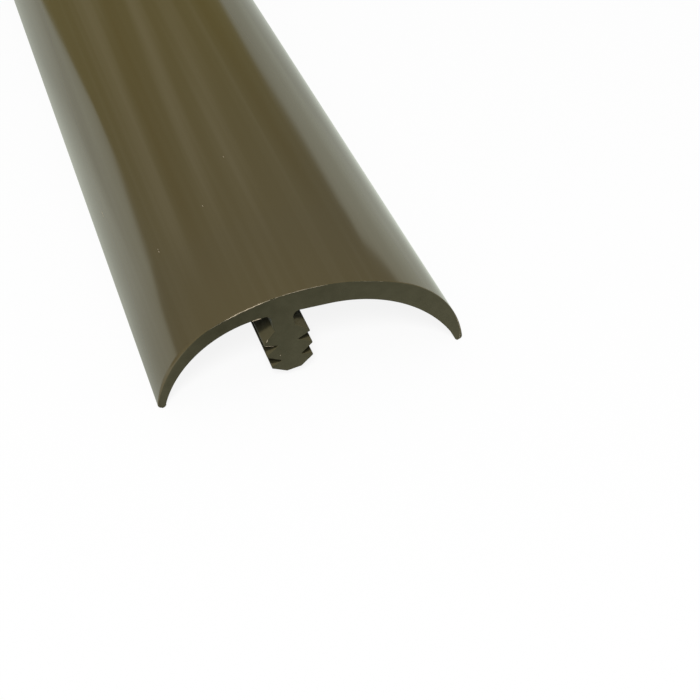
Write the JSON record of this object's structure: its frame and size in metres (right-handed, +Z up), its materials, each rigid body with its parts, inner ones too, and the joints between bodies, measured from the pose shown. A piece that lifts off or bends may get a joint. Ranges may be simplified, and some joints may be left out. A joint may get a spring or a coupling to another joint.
{
  "type": "barbed door edge strip",
  "caption": "Olive-brown plastic edge strip for a door: a crescent cap that wraps the edge, with an offset, leaning barbed stem that presses into a kerf.",
  "frame": {"origin": "middle of the strip's length and width, in the plane that its two lips rest on", "axes": "+Y along the strip, +Z up out of the crown, -X towards the side that the stem is set to; the pictured end is at -Y"},
  "size_m": [0.038, 0.2, 0.013],
  "materials": {
    "moulding": "satin, with fine lengthwise die lines; saw-cut matt ends"
  },
  "bodies": {
    "root": {"cap": "moulding", "stem": "moulding", "left_upper_barb": "moulding", "left_middle_barb": "moulding", "left_lower_barb": "moulding", "right_upper_barb": "moulding", "right_middle_barb": "moulding", "right_lower_barb": "moulding"}
  },
  "joints": []
}
